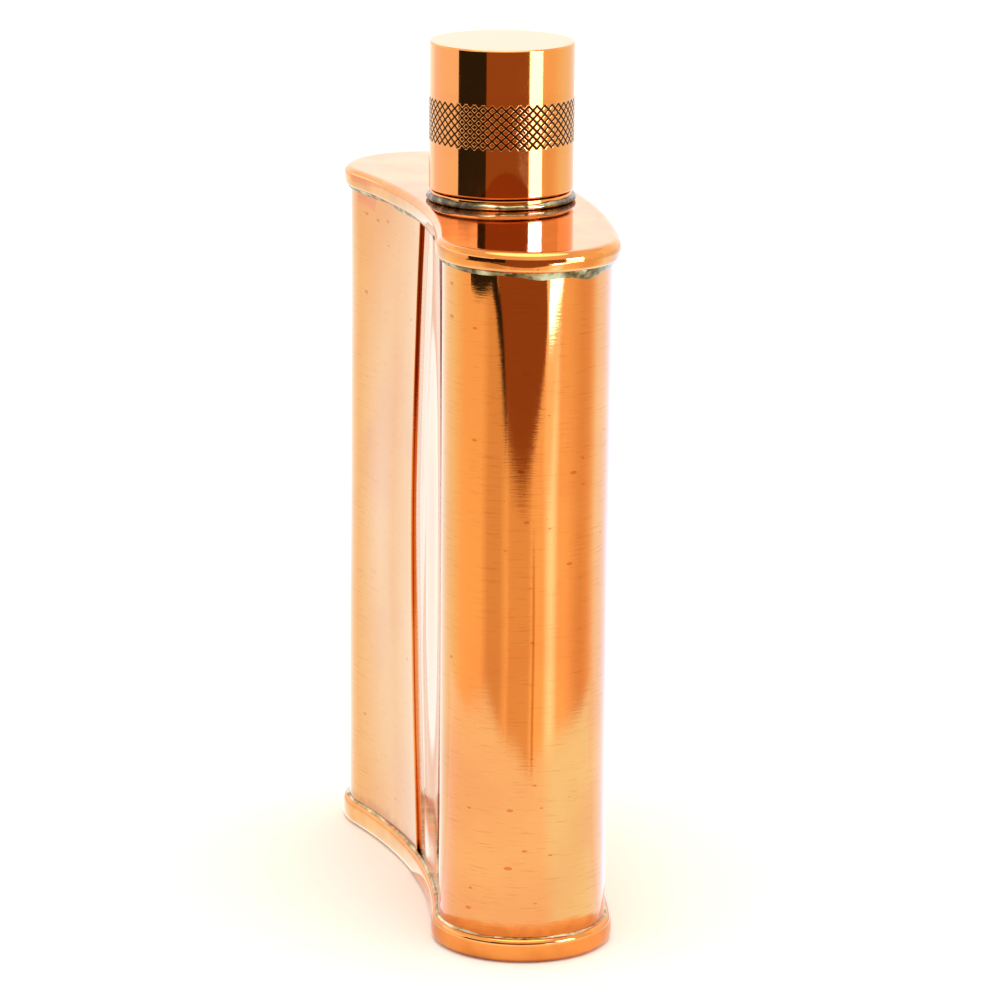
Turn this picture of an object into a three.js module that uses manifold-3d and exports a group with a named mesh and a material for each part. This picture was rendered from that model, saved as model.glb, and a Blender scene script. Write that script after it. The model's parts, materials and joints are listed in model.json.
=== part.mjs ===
// Hip flask in sheet copper, kidney-shaped in section, with a screw cap.
// Millimetres, +Z up. The origin is on the floor, under the centre of the neck.
// X runs along the flask, -Y is the bowed front and +Y the hollow hip face.

import * as THREE from 'three';
import { mergeVertices } from 'three/addons/utils/BufferGeometryUtils.js';
import Module from 'manifold-3d';

const wasm = await Module();
wasm.setup();

// ---- Driving dimensions ----

// flask outline, seen from above
const endRadius = 14.6; // the two round ends
const endSpacing = 36.5; // neck axis to the centre of a round end
const frontBow = 4.2; // how far the middle of the front stands ahead of the ends
const hipHollow = 4.6; // how far the middle of the hip face sits behind the ends
const flaskHeight = 126.5; // floor to the upper face of the top plate

// wrapped sheet of the body
const sheet = 0.8;
const seamPlace = 1.0; // x of the lap seam on the hip face
const lapWidth = 7.0; // how far the hidden edge runs on under the outer one
const joggleLength = 9.0; // length over which the sheet steps in to pass under

// end plates, pressed as shallow pans whose rims hold the body
const plateThickness = 1.2;
const topRimHeight = 3.6;
const bottomRimHeight = 4.4;
const rimRound = 0.9; // rounding of a rim's edges

// neck, turned with a collar and an outside thread
const boreRadius = 7.6;
const neckWall = 2.0;
const neckHeight = 16.0; // top plate to the mouth
const tailLength = 3.2; // tail below the upper face of the top plate
const tailStep = 0.6; // how much slimmer the tail is than the neck
const collarHeight = 1.4;
const mouthRound = 0.5;

// screw thread, right-handed, one start
const pitch = 3.2;
const threadDepth = 0.8;
const ridgeBase = 1.3;
const ridgeCrest = 0.7;
const threadStart = 4.8; // top plate to the first ridge of the neck
const runOut = 0.12; // share of a turn over which a ridge fades at each end
const threadClearance = 0.35;

// screw cap
const capWall = 2.25; // outside to the root of the inside thread
const capHeight = 26.5;
const capEdge = 0.6; // rounding of the outer edges
const capMouth = 0.5; // widening of the bore at the open end
const capMouthDepth = 2.2;
const linerThickness = 4.0;

// solder fillets
const rimFilletWidth = 0.9;
const topFilletHeight = 1.3;
const bottomFilletHeight = 0.8;
const neckFilletWidth = 0.7;
const neckFilletHeight = 0.75;

// clearances between separate pieces
const fitGap = 0.3; // between pieces that are soldered or rest together
const collarStep = 0.3; // the collar is this much slimmer than the cap

// smoothness of round stretches
const arcSteps = 8;
const turnSteps = 48;
const threadStepsPerTurn = 24;
const roundSteps = 2;

// ---- Sizes that follow from them ----

const middleThickness = 2 * endRadius + frontBow - hipHollow;
const halfThickness = middleThickness / 2;
const endSetback = frontBow + endRadius - halfThickness; // ends lie this far to +Y
const rimReach = fitGap + plateThickness; // how far a rim stands out from the body
const neckRadius = boreRadius + neckWall;
const tailRadius = neckRadius - tailStep;
const threadRadius = neckRadius + threadDepth;
const capBore = threadRadius + threadClearance;
const capRadius = capBore + capWall;
const collarRadius = capRadius - collarStep;
const capBottom = flaskHeight + fitGap + collarHeight + fitGap;
const neckTop = flaskHeight + neckHeight;
const linerBottom = neckTop + fitGap;
const capCeiling = linerBottom + linerThickness + fitGap;
const threadDatum = flaskHeight + threadStart;
const threadTurns = (neckHeight - threadStart) / pitch - 1; // ends a turn below the mouth

// ---- Finishes ----

function finish(color, roughness, metalness) {
  return new THREE.MeshStandardMaterial({ color, roughness, metalness });
}

const satinCopper = finish(0xd98a58, 0.3, 1.0);
const polishedCopper = finish(0xe0925c, 0.15, 1.0);
const solder = finish(0x9b9885, 0.35, 1.0);
const rubber = finish(0x2e2a27, 0.8, 0.0);

// ---- Solids ----

function solidOf(geometry) {
  const bare = geometry.clone();
  bare.deleteAttribute('normal');
  bare.deleteAttribute('uv');
  const merged = mergeVertices(bare, 1e-4);
  const vertProperties = new Float32Array(merged.getAttribute('position').array);
  const triVerts = new Uint32Array(merged.getIndex().array);
  return new wasm.Manifold(new wasm.Mesh({ numProp: 3, vertProperties, triVerts }));
}

function geometryOf(solid) {
  const mesh = solid.getMesh();
  const geometry = new THREE.BufferGeometry();
  geometry.setAttribute('position', new THREE.BufferAttribute(mesh.vertProperties, 3));
  geometry.setIndex(new THREE.BufferAttribute(mesh.triVerts, 1));
  return geometry;
}

function piece(name, geometry, material) {
  const mesh = new THREE.Mesh(geometry, material);
  mesh.name = name;
  return mesh;
}

// Revolves a closed profile of [radius, height] points about the neck axis.
function revolve(points, steps = turnSteps) {
  const profile = points.map(([radius, height]) => new THREE.Vector2(radius, height));
  return new THREE.LatheGeometry(profile, steps).rotateX(Math.PI / 2);
}

// Points of a quarter round from one direction to the next, about [radius, height].
function quarterRound(centreRadius, centreHeight, size, fromAngle, toAngle) {
  const points = [];
  for (let step = 0; step <= roundSteps; step += 1) {
    const angle = fromAngle + (toAngle - fromAngle) * (step / roundSteps);
    const radius = centreRadius + size * Math.cos(angle);
    points.push([radius, centreHeight + size * Math.sin(angle)]);
  }
  return points;
}

// ---- Flask outline ----

// Radii and centres of the front arc and the hip arc, both centred on the Y axis.
const endForward = endSetback + halfThickness;
const endBackward = endSetback - halfThickness;
const endReachSquared = endSpacing ** 2 - endRadius ** 2;
const frontRadius = (endReachSquared + endForward ** 2) / (2 * frontBow);
const frontCentre = frontRadius - halfThickness;
const hipRadius = (endReachSquared + endBackward ** 2) / (2 * hipHollow);
const hipCentre = hipRadius + halfThickness;

// Directions in which the arcs hand over to the round ends.
const frontTurn = Math.atan2(endSpacing, frontCentre - endSetback);
const hipTurn = Math.atan2(endSpacing, hipCentre - endSetback);

// Draws the outline clockwise along the hip face from fromTurn, round the flask and back
// along the hip face to toTurn.
function drawRoundFlask(path, offset, fromTurn, toTurn) {
  const end = endRadius + offset;
  const hip = hipRadius - offset;
  const down = -Math.PI / 2;
  const up = Math.PI / 2;
  path.absarc(0, hipCentre, hip, down + fromTurn, down + hipTurn, false);
  path.absarc(endSpacing, endSetback, end, up + hipTurn, down + frontTurn, true);
  path.absarc(0, frontCentre, frontRadius + offset, down + frontTurn, down - frontTurn, true);
  path.absarc(-endSpacing, endSetback, end, down - frontTurn, up - hipTurn, true);
  path.absarc(0, hipCentre, hip, down - hipTurn, down + toTurn, false);
}

function hipPoint(turn, offset) {
  const radius = hipRadius - offset;
  return new THREE.Vector2(radius * Math.sin(turn), hipCentre - radius * Math.cos(turn));
}

// The plain outline, grown or shrunk by an offset.
function plainOutline(offset) {
  const shape = new THREE.Shape();
  const start = hipPoint(0, offset);
  shape.moveTo(start.x, start.y);
  drawRoundFlask(shape, offset, 0, 0);
  return shape;
}

// A smooth step across the sheet, from one depth to another along the hip face.
function joggle(path, fromTurn, fromOffset, toTurn, toOffset) {
  const third = (toTurn - fromTurn) / 3;
  const first = hipPoint(fromTurn + third, fromOffset);
  const second = hipPoint(toTurn - third, toOffset);
  const last = hipPoint(toTurn, toOffset);
  path.bezierCurveTo(first.x, first.y, second.x, second.y, last.x, last.y);
}

// Outline of one face of the wrapped sheet. The face runs on plain from stepTurn round the
// flask to the joggle, then drops by one sheet and meets the other edge at stepTurn.
function seamOutline(offset, stepTurn) {
  const seamTurn = seamPlace / hipRadius;
  const joggleTurn = (seamPlace - joggleLength) / hipRadius;
  const down = -Math.PI / 2;
  const path = new THREE.Shape();
  const stepTop = hipPoint(stepTurn, offset);
  path.moveTo(stepTop.x, stepTop.y);
  drawRoundFlask(path, offset, stepTurn, joggleTurn);
  joggle(path, joggleTurn, offset, seamTurn, offset - sheet);
  if (stepTurn > seamTurn) {
    path.absarc(0, hipCentre, hipRadius - offset + sheet, down + seamTurn, down + stepTurn, false);
  }
  return path;
}

function extrude(shape, height, settings = {}) {
  const options = { depth: height, bevelEnabled: false, curveSegments: arcSteps };
  return new THREE.ExtrudeGeometry(shape, { ...options, ...settings });
}

// ---- Body: one sheet wrapped round and lapped on the hip face ----

function bodyShell() {
  const shownEdge = seamPlace / hipRadius;
  const hiddenEdge = (seamPlace + lapWidth) / hipRadius;
  const bottom = plateThickness + fitGap;
  const top = flaskHeight - plateThickness - fitGap;
  const outside = extrude(seamOutline(0, shownEdge), top - bottom).translate(0, 0, bottom);
  const inside = extrude(seamOutline(-sheet, hiddenEdge), flaskHeight);
  return geometryOf(solidOf(outside).subtract(solidOf(inside)));
}

// ---- End plates: pans whose rims embrace the body ----

function panSolid(rimHeight, cavityShift) {
  const round = Math.min(rimRound, plateThickness * 0.9, rimHeight * 0.45);
  const outer = extrude(plainOutline(rimReach), rimHeight - 2 * round, {
    bevelEnabled: true,
    bevelThickness: round,
    bevelSize: round,
    bevelOffset: -round,
    bevelSegments: roundSteps,
  });
  outer.translate(0, 0, round);
  const cavity = extrude(plainOutline(fitGap), rimHeight).translate(0, 0, cavityShift);
  return solidOf(outer).subtract(solidOf(cavity));
}

function bottomPlate() {
  return geometryOf(panSolid(bottomRimHeight, plateThickness));
}

function topPlate() {
  const pan = panSolid(topRimHeight, -plateThickness);
  const holeRadius = tailRadius + fitGap;
  const hole = new THREE.CylinderGeometry(holeRadius, holeRadius, 4 * topRimHeight, turnSteps);
  const plate = pan.subtract(solidOf(hole.rotateX(Math.PI / 2)));
  return geometryOf(plate).translate(0, 0, flaskHeight - topRimHeight);
}

// ---- Screw thread ----

// A helical ridge about the neck axis, standing from baseRadius to crestRadius. Its root
// runs a little into the wall, and both ends fade into it.
function threadRidge(baseRadius, crestRadius, lift) {
  const root = baseRadius - (crestRadius - baseRadius) * 0.5;
  const section = new THREE.Shape();
  section.moveTo(-1, -ridgeBase / 2);
  section.lineTo(1, -ridgeCrest / 2);
  section.lineTo(1, ridgeCrest / 2);
  section.lineTo(-1, ridgeBase / 2);
  section.closePath();
  const steps = Math.ceil(threadTurns * threadStepsPerTurn);
  const ridge = new THREE.ExtrudeGeometry(section, { depth: 1, steps, bevelEnabled: false });
  const position = ridge.getAttribute('position');
  const inward = crestRadius < baseRadius;
  for (let index = 0; index < position.count; index += 1) {
    const along = position.getZ(index);
    const turn = inward ? along * threadTurns : (1 - along) * threadTurns;
    const nearEnd = Math.min(turn, threadTurns - turn) / runOut;
    const fade = Math.min(1, nearEnd) * 1.2 - 0.2; // starts below the wall's surface
    const crest = baseRadius + (crestRadius - baseRadius) * fade;
    const radius = position.getX(index) > 0 ? crest : root;
    const angle = 2 * Math.PI * turn;
    const level = threadDatum + lift + pitch * turn + position.getY(index);
    position.setXYZ(index, radius * Math.cos(angle), radius * Math.sin(angle), level);
  }
  return ridge;
}

// ---- Neck: collar, threaded tube and the tail through the top plate ----

function neckSpout() {
  const collarBottom = flaskHeight + fitGap;
  const collarTop = collarBottom + collarHeight;
  const tailBottom = flaskHeight - tailLength;
  const lip = mouthRound;
  const tube = revolve([
    [boreRadius, tailBottom],
    [tailRadius, tailBottom],
    [tailRadius, collarBottom],
    [collarRadius, collarBottom],
    [collarRadius, collarTop],
    [neckRadius, collarTop],
    ...quarterRound(neckRadius - lip, neckTop - lip, lip, 0, Math.PI / 2),
    ...quarterRound(boreRadius + lip, neckTop - lip, lip, Math.PI / 2, Math.PI),
    [boreRadius, tailBottom],
  ]);
  const ridge = threadRidge(neckRadius, threadRadius, 0);
  return geometryOf(solidOf(tube).add(solidOf(ridge)));
}

// ---- Cap: turned, with an inside thread and a flat liner ----

function screwCap() {
  const top = capBottom + capHeight;
  const edge = capEdge;
  const mouth = capBore + capMouth;
  const shell = revolve([
    [0, capCeiling],
    [capBore, capCeiling],
    [capBore, capBottom + capMouthDepth + capMouth],
    [mouth, capBottom + capMouthDepth],
    [mouth, capBottom],
    ...quarterRound(capRadius - edge, capBottom + edge, edge, -Math.PI / 2, 0),
    ...quarterRound(capRadius - edge, top - edge, edge, 0, Math.PI / 2),
    [0, top],
  ]);
  const ridge = threadRidge(capBore, capBore - threadDepth, pitch / 2);
  return geometryOf(solidOf(shell).add(solidOf(ridge)));
}

function capLiner() {
  const radius = capBore - fitGap;
  const top = linerBottom + linerThickness;
  return revolve([[0, linerBottom], [radius, linerBottom], [radius, top], [0, top]]);
}

// ---- Solder fillets ----

// A band round the body, stepped down from its full width at one edge to half of it at the other.
function rimFillet(bottom, height, widestAtTop) {
  const levels = 2;
  const rise = height / levels;
  const wall = solidOf(extrude(plainOutline(fitGap), 2 * flaskHeight));
  let band = null;
  for (let level = 0; level < levels; level += 1) {
    const share = (widestAtTop ? level + 1 : levels - level) / levels;
    const outline = plainOutline(fitGap + rimFilletWidth * share);
    const slice = solidOf(extrude(outline, rise).translate(0, 0, bottom + level * rise));
    band = band ? band.add(slice) : slice;
  }
  return geometryOf(band.subtract(wall));
}

function topRimSolder() {
  const top = flaskHeight - topRimHeight - fitGap;
  return rimFillet(top - topFilletHeight, topFilletHeight, true);
}

function bottomRimSolder() {
  return rimFillet(bottomRimHeight + fitGap, bottomFilletHeight, false);
}

function neckSolder() {
  const inner = collarRadius + fitGap;
  const bottom = flaskHeight + fitGap;
  const outer = inner + neckFilletWidth;
  return revolve([
    [inner, bottom],
    [outer, bottom],
    [inner + neckFilletWidth * 0.8, bottom + neckFilletHeight * 0.6],
    [inner, bottom + neckFilletHeight],
    [inner, bottom],
  ]);
}

// ---- Assembly ----

const flask = new THREE.Group();
flask.add(piece('body_shell', bodyShell(), satinCopper));
flask.add(piece('bottom_plate', bottomPlate(), polishedCopper));
flask.add(piece('top_plate', topPlate(), polishedCopper));
flask.add(piece('neck_spout', neckSpout(), polishedCopper));
flask.add(piece('cap', screwCap(), polishedCopper));
flask.add(piece('cap_liner', capLiner(), rubber));
flask.add(piece('top_rim_solder', topRimSolder(), solder));
flask.add(piece('bottom_rim_solder', bottomRimSolder(), solder));
flask.add(piece('neck_solder', neckSolder(), solder));

export default flask;
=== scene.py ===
# Copper hip flask with a knurled screw cap: its surfaces, finishes and studio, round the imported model.
# Meshes are made in millimetres and handed to Blender in metres, so the dictionaries are in millimetres.
import json
import math
import random

import bpy
import numpy as np
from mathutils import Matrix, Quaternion, Vector, noise

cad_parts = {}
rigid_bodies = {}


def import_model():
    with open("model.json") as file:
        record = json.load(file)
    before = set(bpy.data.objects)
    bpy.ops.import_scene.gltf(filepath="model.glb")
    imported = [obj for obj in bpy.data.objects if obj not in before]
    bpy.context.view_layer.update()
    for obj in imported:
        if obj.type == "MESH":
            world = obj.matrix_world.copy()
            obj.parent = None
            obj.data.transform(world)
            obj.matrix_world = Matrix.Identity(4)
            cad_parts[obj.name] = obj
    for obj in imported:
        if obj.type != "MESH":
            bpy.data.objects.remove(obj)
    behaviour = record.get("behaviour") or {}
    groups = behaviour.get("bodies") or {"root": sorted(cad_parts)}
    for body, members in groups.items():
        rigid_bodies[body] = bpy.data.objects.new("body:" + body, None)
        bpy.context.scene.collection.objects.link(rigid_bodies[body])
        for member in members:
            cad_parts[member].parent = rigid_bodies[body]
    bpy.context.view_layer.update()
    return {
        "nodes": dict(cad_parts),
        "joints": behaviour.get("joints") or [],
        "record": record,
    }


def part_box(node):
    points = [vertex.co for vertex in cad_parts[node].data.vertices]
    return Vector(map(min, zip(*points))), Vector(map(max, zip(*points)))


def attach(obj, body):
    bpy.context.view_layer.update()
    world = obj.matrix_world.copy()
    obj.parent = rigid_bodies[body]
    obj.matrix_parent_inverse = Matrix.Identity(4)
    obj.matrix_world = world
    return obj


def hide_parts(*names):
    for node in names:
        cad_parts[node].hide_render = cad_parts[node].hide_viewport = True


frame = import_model()
mm = 0.001
fullTurn = 2 * math.pi
noiseLow, noiseHigh = 0.3, 0.7  # nearly all of a noise pattern's values lie between these
riseJoint = next(joint for joint in frame["joints"] if joint["type"] == "slide")
spinJoint = next(joint for joint in frame["joints"] if joint["type"] == "hinge")
flaskBody, linerBody, capBody = riseJoint["parent"], riseJoint["child"], spinJoint["child"]
print("frame loaded:", len(frame["nodes"]), "nodes")


def boxOf(node):
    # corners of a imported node, in millimetres
    low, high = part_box(node)
    return low / mm, high / mm


# small tools

def linear(hexCode):
    # an sRGB hex value as the linear colour that a shader socket takes
    colour = []
    for place in (0, 2, 4):
        share = int(hexCode[place:place + 2], 16) / 255
        share = share / 12.92 if share <= 0.04045 else ((share + 0.055) / 1.055) ** 2.4
        colour.append(share)
    return (*colour, 1.0)


def addNode(tree, kind, inputs=None, **settings):
    # one shader node with its settings; an input is a value or the output that feeds it
    node = tree.nodes.new("ShaderNode" + kind)
    for name, value in settings.items():
        setattr(node, name, value)
    for name, value in (inputs or {}).items():
        if isinstance(value, bpy.types.NodeSocket):
            tree.links.new(value, node.inputs[name])
        else:
            node.inputs[name].default_value = value
    return node


def grain(*sizes):
    # mapping scale that makes a pattern repeat every so many millimetres along x, y and z
    return tuple(1 / (size * mm) for size in sizes)


def smooth(share):
    share = np.clip(share, 0, 1)
    return share * share * (3 - 2 * share)


def makeObject(name, vertices, faces, material, sharpAngle=None):
    mesh = bpy.data.meshes.new(name)
    mesh.from_pydata([tuple(vertex) for vertex in np.asarray(vertices) * mm], [], faces)
    mesh.validate()
    mesh.update()
    mesh.shade_smooth()
    if sharpAngle:
        mesh.set_sharp_from_angle(angle=math.radians(sharpAngle))
    mesh.materials.append(material)
    made = bpy.data.objects.new(name, mesh)
    bpy.context.scene.collection.objects.link(made)
    return made


def skin(rings, startTip=None, endTip=None):
    # joins rings of points in order; with no tips the last ring joins the first one again.
    # a ring may hold a whole number of times as many points as the next one
    vertices = np.concatenate(rings)
    firsts = np.cumsum([0] + [len(ring) for ring in rings])
    pairs = [(place, place + 1) for place in range(len(rings) - 1)]
    if startTip is None:
        pairs.append((len(rings) - 1, 0))
    faces = []
    for lower, upper in pairs:
        countLower, countUpper = len(rings[lower]), len(rings[upper])
        sides = min(countLower, countUpper)
        stepLower, stepUpper = countLower // sides, countUpper // sides
        for side in range(sides):
            below = [firsts[lower] + (side * stepLower + step) % countLower for step in range(stepLower + 1)]
            above = [firsts[upper] + (side * stepUpper + step) % countUpper for step in range(stepUpper + 1)]
            faces.append([int(corner) for corner in below + above[::-1]])
    if startTip is not None:
        for tip, ring, order in ((startTip, 0, 1), (endTip, len(rings) - 1, -1)):
            vertices = np.vstack([vertices, tip])
            count = len(rings[ring])
            for side in range(count):
                pair = [int(firsts[ring] + side), int(firsts[ring] + (side + 1) % count)]
                faces.append([len(vertices) - 1, *pair[::-order]])
    return vertices, faces


def settle(piece, body, node):
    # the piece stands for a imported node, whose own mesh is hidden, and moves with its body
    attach(piece, body)
    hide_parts(node)
    return piece


# outline of the flask, shared by the body, both end plates and their solder

flask = {
    "endRadius": 14.6,     # the two round ends
    "stationStep": 0.6,    # spacing of the mesh round the flask
    "seamX": 1.0,          # where the lap seam stands on the hip face
    "waves": 14,           # hand-made unevenness: how many waves are summed
    "waveSize": 0.022,     # height of one wave
    "waveLength": (22, 70),
}
bodyLow, bodyHigh = boxOf("body_shell")
halfThick = -bodyLow.y
endX = bodyHigh.x - flask["endRadius"]
endY = bodyHigh.y - flask["endRadius"]


def outlineArcs():
    # arcs from the seam along the hip face, round the flask and back: centre, radius, first and
    # last direction, and whether the outside is away from the centre
    radius = flask["endRadius"]
    forward = halfThick + endY
    backward = halfThick - endY
    spread = endX ** 2 - radius ** 2
    frontRadius = (spread + forward ** 2) / (2 * (forward - radius))
    hipRadius = (spread + backward ** 2) / (2 * (radius - backward))
    frontCentre = frontRadius - halfThick
    hipCentre = hipRadius + halfThick
    frontTurn = math.atan2(endX, frontCentre - endY)
    hipTurn = math.atan2(endX, hipCentre - endY)
    seamTurn = math.asin(flask["seamX"] / hipRadius)
    quarter = math.pi / 2
    return [
        ((0, hipCentre), hipRadius, seamTurn - quarter, -quarter - hipTurn, -1),
        ((-endX, endY), radius, quarter - hipTurn, 3 * quarter - frontTurn, 1),
        ((0, frontCentre), frontRadius, 3 * quarter - frontTurn, 3 * quarter + frontTurn, 1),
        ((endX, endY), radius, frontTurn - quarter, quarter + hipTurn, 1),
        ((0, hipCentre), hipRadius, hipTurn - quarter, seamTurn - quarter, -1),
    ]


arcs = outlineArcs()
outlineLength = sum(radius * abs(last - first) for _, radius, first, last, _ in arcs)


def outlineAt(distances):
    # points of the outline and the directions straight out from it, at distances along it
    distances = np.asarray(distances, float)
    points = np.zeros((len(distances), 2))
    normals = np.zeros((len(distances), 2))
    passed = 0
    for centre, radius, first, last, side in arcs:
        length = radius * abs(last - first)
        here = (distances >= passed - 1e-9) & (distances <= passed + length + 1e-9)
        angles = first + (last - first) * (distances[here] - passed) / length
        direction = np.stack([np.cos(angles), np.sin(angles)], 1)
        points[here] = np.array(centre) + radius * direction
        normals[here] = side * direction
        passed += length
    return points, normals


def outlineRing(stations, offset, level):
    # one ring of points round the flask, grown by an offset, at a height
    points, normals = stations
    flat = points + normals * np.reshape(offset, (-1, 1))
    return np.column_stack([flat, np.broadcast_to(level, len(flat))])


waveSource = random.Random(11)
waves = []
for _ in range(flask["waves"]):
    heading = Vector((waveSource.gauss(0, 1), waveSource.gauss(0, 1), waveSource.gauss(0, 0.45))).normalized()
    length = waveSource.uniform(*flask["waveLength"])
    waves.append((np.array(heading) * fullTurn / length, waveSource.uniform(0, fullTurn)))


def unevenness(points):
    # slow waves left by the hammer and the stake, the same wherever two pieces meet
    total = np.zeros(len(points))
    for heading, phase in waves:
        total += np.sin(points @ heading + phase)
    return total * flask["waveSize"]


# finishes

def startMaterial(name):
    material = bpy.data.materials.new(name)
    material.use_nodes = True
    tree = material.node_tree
    tree.nodes.clear()
    shader = addNode(tree, "BsdfPrincipled")
    addNode(tree, "OutputMaterial", {"Surface": shader.outputs[0]})
    place = addNode(tree, "TexCoord").outputs["Object"]
    return material, tree, shader, place


# copper sheet, rolled, then rubbed round by hand with fine abrasive: a warm orange metal whose
# reflections are drawn out upright and frayed by hairline scratches that run level
rubbedCopper = {
    "copper": "E38E45",
    "warm": "DF8541",         # slightly redder cloudy patches
    "tarnish": "B0581F",      # heat and flux stain beside the solder
    "cloudSize": 24,
    "roughness": 0.065,
    "polishedRoughness": 0.03,
    "polishFrom": 84,         # the upper part is buffed brighter, from this height
    "polishTo": 118,
    "scratchLength": 5.5,
    "scratchWidth": 0.27,     # real grit lines are a tenth of this; coarser so that they show
    "scratchDepth": 0.0042,
    "polishedScratchDepth": 0.0014,
    "scratchStain": 0.42,     # how dark the deepest scratches have gone
    "scratchDeep": (0.57, 0.76),  # the part of the pattern that counts as deep
    "streakSpread": (0.8, 1.25),  # roughness between the scratches and in them
    "pitSpacing": (5.0, 2.2),  # across and up
    "pitRare": 0.55,          # share of places that have no pit
    "pitSize": 0.17,          # the largest pit, as a share of their spacing
    "pitShare": 0.75,         # how strongly the pit's colour covers the copper
    "pitColour": "CC5A1A",
    "cloudShare": (0.42, 0.62),
    "stainHeight": 1.6,       # how far the stain creeps up from the foot's solder
    "stainCreep": 2.2,        # width of its tongues
    "stainShare": 0.5,
    "anisotropy": 0.55,       # the level scratches draw reflections out upright
    "anisotropyTurn": 0.25,
}


def makeRubbedCopper():
    settings = rubbedCopper
    material, tree, shader, place = startMaterial("rubbed_sheet_copper")
    height = addNode(tree, "SeparateXYZ", {0: place}).outputs[2]
    cloud = addNode(tree, "TexNoise", {
        "Vector": place, "Scale": grain(settings["cloudSize"])[0], "Detail": 3.0})
    cloudLow, cloudHigh = settings["cloudShare"]
    cloudShare = addNode(tree, "MapRange", {
        "Value": cloud.outputs["Fac"], "From Min": cloudLow, "From Max": cloudHigh}).outputs[0]
    colour = addNode(tree, "Mix", {
        0: cloudShare, 6: linear(settings["copper"]), 7: linear(settings["warm"])},
        data_type="RGBA").outputs[2]

    # tiny red pits, drawn out along the rubbing
    across, up = settings["pitSpacing"]
    pitPlace = addNode(tree, "Mapping", {"Vector": place, "Scale": grain(across, across, up)}).outputs[0]
    pits = addNode(tree, "TexVoronoi", {"Vector": pitPlace, "Scale": 1.0})
    rare = addNode(tree, "SeparateColor", {0: pits.outputs["Color"]}).outputs[0]
    pitSize = addNode(tree, "MapRange", {
        "Value": rare, "From Min": settings["pitRare"], "From Max": 1.0,
        "To Min": 0.0, "To Max": settings["pitSize"]}).outputs[0]
    pitEdge = addNode(tree, "Math", {
        0: pitSize, 1: pits.outputs["Distance"]}, operation="SUBTRACT").outputs[0]
    pitShare = addNode(tree, "MapRange", {
        "Value": pitEdge, "From Min": 0.0, "From Max": 0.03,
        "To Min": 0.0, "To Max": settings["pitShare"]}).outputs[0]
    colour = addNode(tree, "Mix", {
        0: pitShare, 6: colour, 7: linear(settings["pitColour"])}, data_type="RGBA").outputs[2]

    # stain that creeps up from the solder at the foot, uneven round the flask
    creep = addNode(tree, "TexNoise", {
        "Vector": place, "Scale": grain(settings["stainCreep"])[0], "Detail": 4.0})
    foot = boxOf("bottom_rim_solder")[1].z
    stainTop = addNode(tree, "MapRange", {
        "Value": creep.outputs["Fac"], "From Min": 0.35, "From Max": 0.75,
        "To Min": (foot + 0.1) * mm, "To Max": (foot + settings["stainHeight"]) * mm}).outputs[0]
    above = addNode(tree, "Math", {0: stainTop, 1: height}, operation="SUBTRACT").outputs[0]
    stainShare = addNode(tree, "MapRange", {
        "Value": above, "From Min": -0.6 * mm, "From Max": 1.2 * mm,
        "To Min": 0.0, "To Max": settings["stainShare"]}).outputs[0]
    colour = addNode(tree, "Mix", {
        0: stainShare, 6: colour, 7: linear(settings["tarnish"])}, data_type="RGBA").outputs[2]

    # level scratches: the deepest have gone dark
    length, width = settings["scratchLength"], settings["scratchWidth"]
    scratchPlace = addNode(tree, "Mapping", {
        "Vector": place, "Scale": grain(length, length, width)}).outputs[0]
    scratches = addNode(tree, "TexNoise", {
        "Vector": scratchPlace, "Scale": 1.0, "Detail": 3.0, "Roughness": 0.6})
    deepFrom, deepTo = settings["scratchDeep"]
    deepShare = addNode(tree, "MapRange", {
        "Value": scratches.outputs["Fac"], "From Min": deepFrom, "From Max": deepTo,
        "To Min": 0.0, "To Max": settings["scratchStain"]}).outputs[0]
    colour = addNode(tree, "Mix", {
        0: deepShare, 6: colour, 7: linear(settings["tarnish"])}, data_type="RGBA").outputs[2]
    tree.links.new(colour, shader.inputs["Base Color"])

    # they fray the reflections too, and the buffed upper part is clearer
    polishFrom, polishTo = settings["polishFrom"] * mm, settings["polishTo"] * mm
    between, scored = settings["streakSpread"]
    dull = addNode(tree, "MapRange", {
        "Value": height, "From Min": polishFrom, "From Max": polishTo,
        "To Min": settings["roughness"], "To Max": settings["polishedRoughness"]}).outputs[0]
    streak = addNode(tree, "MapRange", {
        "Value": scratches.outputs["Fac"], "From Min": noiseLow, "From Max": noiseHigh,
        "To Min": between, "To Max": scored}).outputs[0]
    roughness = addNode(tree, "Math", {0: dull, 1: streak}, operation="MULTIPLY").outputs[0]
    tree.links.new(roughness, shader.inputs["Roughness"])
    scratchDepth = addNode(tree, "MapRange", {
        "Value": height, "From Min": polishFrom, "From Max": polishTo,
        "To Min": settings["scratchDepth"] * mm, "To Max": settings["polishedScratchDepth"] * mm}).outputs[0]
    bump = addNode(tree, "Bump", {
        "Height": scratches.outputs["Fac"], "Strength": 1.0, "Distance": scratchDepth})
    tree.links.new(bump.outputs[0], shader.inputs["Normal"])
    aroundFlask = addNode(tree, "Tangent", direction_type="RADIAL", axis="Z")
    tree.links.new(aroundFlask.outputs[0], shader.inputs["Tangent"])
    shader.inputs["Anisotropic"].default_value = settings["anisotropy"]
    shader.inputs["Anisotropic Rotation"].default_value = settings["anisotropyTurn"]
    shader.inputs["Metallic"].default_value = 1.0
    return material


# copper plate, pressed and buffed on a mop: a clear mirror with a slight swim in it
buffedCopper = {
    "copper": "E8954B",
    "warm": "CF7736",
    "cloudSize": 9,
    "roughness": 0.06,
    "roughnessSpread": (0.7, 1.5),
    "swimSize": 7.0,        # width of the slow unevenness that bends reflections
    "swimDepth": 0.012,
    "hairWidth": 0.5,
    "hairDepth": 0.0006,
}


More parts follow.
